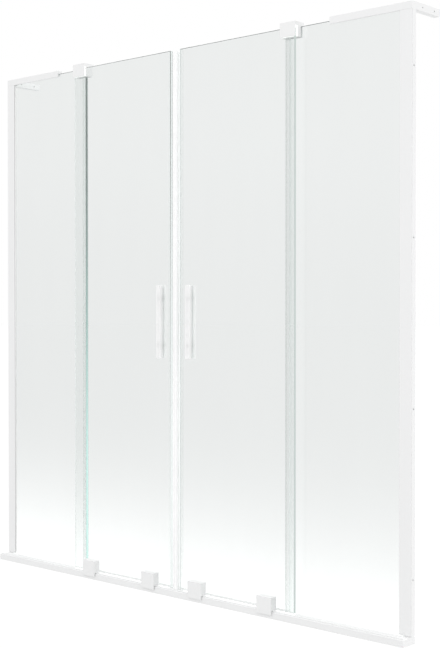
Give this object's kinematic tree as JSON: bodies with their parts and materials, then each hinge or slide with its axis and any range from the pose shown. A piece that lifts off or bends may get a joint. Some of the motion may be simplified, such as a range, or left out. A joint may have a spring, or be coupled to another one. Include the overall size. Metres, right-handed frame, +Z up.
{
  "type": "sliding bath screen",
  "caption": "Frameless sliding glass bath screen with white bottom rail, wall profiles, corner braces, fixed panes, and glass doors on rollers with square blocks and bar handles.",
  "frame": {"origin": "middle of the bottom rail's underside", "axes": "+X to the right along the bath's rim as seen from outside the bath, +Y into the bath, +Z up"},
  "size_m": [1.5, 0.158, 1.502],
  "materials": {
    "white_paint": "smooth white powder coat",
    "clear_glass": "clear toughened, polished edges",
    "clear_seal": "clear soft plastic",
    "white_magnet": "white magnetic strip",
    "white_plastic": "white snap-in strip",
    "nylon": "natural nylon",
    "white_silicone": "white glazing silicone",
    "steel": "stainless steel"
  },
  "bodies": {
    "frame": {"bottom_rail": "white_paint", "rail_infill": "white_plastic", "wall_gaskets": "white_silicone", "rail_gaskets": "white_silicone", "brace_studs": "steel", "guide_screws": "steel", "rail_end_cap_left": "white_paint", "wall_channel_left": "white_paint", "cover_profile_left": "white_paint", "fixed_glass_left": "clear_glass", "overlap_seal_left": "clear_seal", "brace_bar_left": "white_paint", "brace_leg_left": "white_paint", "guide_body_left": "white_paint", "guide_clamp_left": "white_paint", "guide_liner_left": "nylon", "rail_end_cap_right": "white_paint", "wall_channel_right": "white_paint", "cover_profile_right": "white_paint", "fixed_glass_right": "clear_glass", "overlap_seal_right": "clear_seal", "brace_bar_right": "white_paint", "brace_leg_right": "white_paint", "guide_body_right": "white_paint", "guide_clamp_right": "white_paint", "guide_liner_right": "nylon"},
    "left_door": {"door_glass_left": "clear_glass", "meeting_seal_left": "clear_seal", "magnet_strip_left": "white_magnet", "drip_seal_left": "clear_seal", "outer_block_cover_left": "white_paint", "inner_block_cover_left": "white_paint", "roller_carriers_left": "steel", "carrier_pads_left": "white_silicone", "carrier_bolts_left": "steel", "roller_axles_left": "steel", "handle_front_left": "white_paint", "handle_back_left": "white_paint", "handle_studs_left": "steel"},
    "left_outer_roller": {"roller_tyre_left_outer": "nylon", "roller_bearing_left_outer": "steel"},
    "left_inner_roller": {"roller_tyre_left_inner": "nylon", "roller_bearing_left_inner": "steel"},
    "right_door": {"door_glass_right": "clear_glass", "meeting_seal_right": "clear_seal", "magnet_strip_right": "white_magnet", "drip_seal_right": "clear_seal", "outer_block_cover_right": "white_paint", "inner_block_cover_right": "white_paint", "roller_carriers_right": "steel", "carrier_pads_right": "white_silicone", "carrier_bolts_right": "steel", "roller_axles_right": "steel", "handle_front_right": "white_paint", "handle_back_right": "white_paint", "handle_studs_right": "steel"},
    "right_outer_roller": {"roller_tyre_right_outer": "nylon", "roller_bearing_right_outer": "steel"},
    "right_inner_roller": {"roller_tyre_right_inner": "nylon", "roller_bearing_right_inner": "steel"}
  },
  "joints": [
    {"name": "left_door_slide", "type": "slide", "parent": "frame", "child": "left_door", "axis": [-1, 0, 0], "range_m": [0, 0.31]},
    {"name": "left_outer_roller_spin", "type": "hinge", "parent": "left_door", "child": "left_outer_roller", "pos_m": [-0.332, -0.0195, 0.02925], "axis": [0, 1, 0], "range_deg": [-1875, 0]},
    {"name": "left_inner_roller_spin", "type": "hinge", "parent": "left_door", "child": "left_inner_roller", "pos_m": [-0.089, -0.0195, 0.02925], "axis": [0, 1, 0], "range_deg": [-1875, 0]},
    {"name": "right_door_slide", "type": "slide", "parent": "frame", "child": "right_door", "axis": [1, 0, 0], "range_m": [0, 0.31]},
    {"name": "right_outer_roller_spin", "type": "hinge", "parent": "right_door", "child": "right_outer_roller", "pos_m": [0.332, -0.0195, 0.02925], "axis": [0, 1, 0], "range_deg": [0, 1875]},
    {"name": "right_inner_roller_spin", "type": "hinge", "parent": "right_door", "child": "right_inner_roller", "pos_m": [0.089, -0.0195, 0.02925], "axis": [0, 1, 0], "range_deg": [0, 1875]}
  ],
  "couplings": [
    {"joint": "left_outer_roller_spin", "follows": "left_door_slide", "rad_per_m": -105.26},
    {"joint": "left_inner_roller_spin", "follows": "left_door_slide", "rad_per_m": -105.26},
    {"joint": "right_outer_roller_spin", "follows": "right_door_slide", "rad_per_m": 105.26},
    {"joint": "right_inner_roller_spin", "follows": "right_door_slide", "rad_per_m": 105.26}
  ]
}
